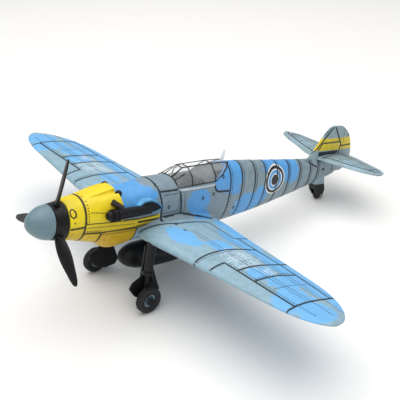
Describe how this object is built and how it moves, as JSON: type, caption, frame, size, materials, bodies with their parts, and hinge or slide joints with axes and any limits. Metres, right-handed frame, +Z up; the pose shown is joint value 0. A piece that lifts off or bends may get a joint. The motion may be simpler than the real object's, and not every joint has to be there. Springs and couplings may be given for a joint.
{
  "type": "model fighter aeroplane",
  "caption": "Small static model of a low-wing propeller fighter with a turning propeller, rolling wheels, clear canopy and a belly tank, standing tail down.",
  "frame": {"origin": "centre of the model's box, on the surface it stands on", "axes": "-Y forward out of the nose, +Y towards the tail, +X towards the port wing tip, +Z up; the model stands on its three wheels, nose up"},
  "size_m": [0.2058, 0.1906, 0.0734],
  "materials": {
    "nose_yellow": "satin yellow paint, slightly dusted",
    "chin_mustard": "satin mustard paint",
    "fuselage_camouflage": "mottled blue-grey and sky-blue paint with dark panel lines",
    "wing_camouflage": "sky-blue patches on blue-grey with pale brush strokes",
    "tail_camouflage": "mottled blue-grey and sky-blue paint with a yellow band",
    "clear_plastic": "clear moulded plastic with painted frames",
    "cockpit_dark": "flat black",
    "cockpit_grey": "flat grey",
    "spinner_grey": "satin blue-grey paint",
    "satin_black": "satin black paint",
    "scoop_blue": "satin sky-blue paint",
    "exhaust_dark": "flat burnt brown",
    "pin_steel": "bare steel pin",
    "wheel_disc_blue": "satin pale blue-grey paint",
    "tyre_black": "flat black rubber"
  },
  "bodies": {
    "airframe": {"nose_ring": "nose_yellow", "cowl_upper": "nose_yellow", "cowl_lower": "nose_yellow", "oil_cooler": "chin_mustard", "fuselage_left": "fuselage_camouflage", "fuselage_right": "fuselage_camouflage", "wing_lower": "wing_camouflage", "wing_upper_left": "wing_camouflage", "wing_upper_right": "wing_camouflage", "wing_fairing_left": "fuselage_camouflage", "wing_fairing_right": "fuselage_camouflage", "windscreen": "clear_plastic", "canopy_hood": "clear_plastic", "canopy_rear": "clear_plastic", "radio_mast": "clear_plastic", "cockpit_tub": "cockpit_dark", "pilot_seat": "cockpit_dark", "instrument_panel": "cockpit_dark", "control_stick": "cockpit_dark", "rear_deck": "cockpit_grey", "tail_fin": "tail_camouflage", "rudder": "tail_camouflage", "tailplane_left": "tail_camouflage", "tailplane_right": "tail_camouflage", "gun_blister_left": "satin_black", "gun_blister_right": "satin_black", "intake_filter": "satin_black", "intake_scoop": "satin_black", "scoop_rim": "scoop_blue", "exhaust_left": "exhaust_dark", "exhaust_right": "exhaust_dark", "gear_leg_left": "satin_black", "gear_leg_right": "satin_black", "axle_cap_left": "pin_steel", "axle_cap_right": "pin_steel", "gear_door_left": "satin_black", "gear_door_right": "satin_black", "tail_fork": "satin_black", "tail_axle": "pin_steel", "drop_tank": "satin_black", "tank_rack": "satin_black", "radiator_left": "satin_black", "radiator_right": "satin_black"},
    "propeller": {"spinner_cone": "spinner_grey", "propeller_hub": "satin_black", "propeller_blade_1": "satin_black", "propeller_blade_2": "satin_black", "propeller_blade_3": "satin_black", "propeller_shaft": "pin_steel", "shaft_retainer": "pin_steel"},
    "left main wheel": {"wheel_rim_left": "wheel_disc_blue", "tyre_left": "tyre_black"},
    "right main wheel": {"wheel_rim_right": "wheel_disc_blue", "tyre_right": "tyre_black"},
    "tail wheel": {"tail_wheel": "satin_black"}
  },
  "joints": [
    {"name": "propeller_spin", "type": "hinge", "parent": "airframe", "child": "propeller", "pos_m": [0, -0.08543, 0.04729], "axis": [0, 0.9681, -0.2504], "continuous": true},
    {"name": "left_wheel_spin", "type": "hinge", "parent": "airframe", "child": "left main wheel", "pos_m": [0.0198, -0.05361, 0.0058], "axis": [1, 0, 0], "continuous": true},
    {"name": "right_wheel_spin", "type": "hinge", "parent": "airframe", "child": "right main wheel", "pos_m": [-0.0198, -0.05361, 0.0058], "axis": [1, 0, 0], "continuous": true},
    {"name": "tail_wheel_spin", "type": "hinge", "parent": "airframe", "child": "tail wheel", "pos_m": [0, 0.07181, 0.0027], "axis": [1, 0, 0], "continuous": true}
  ]
}
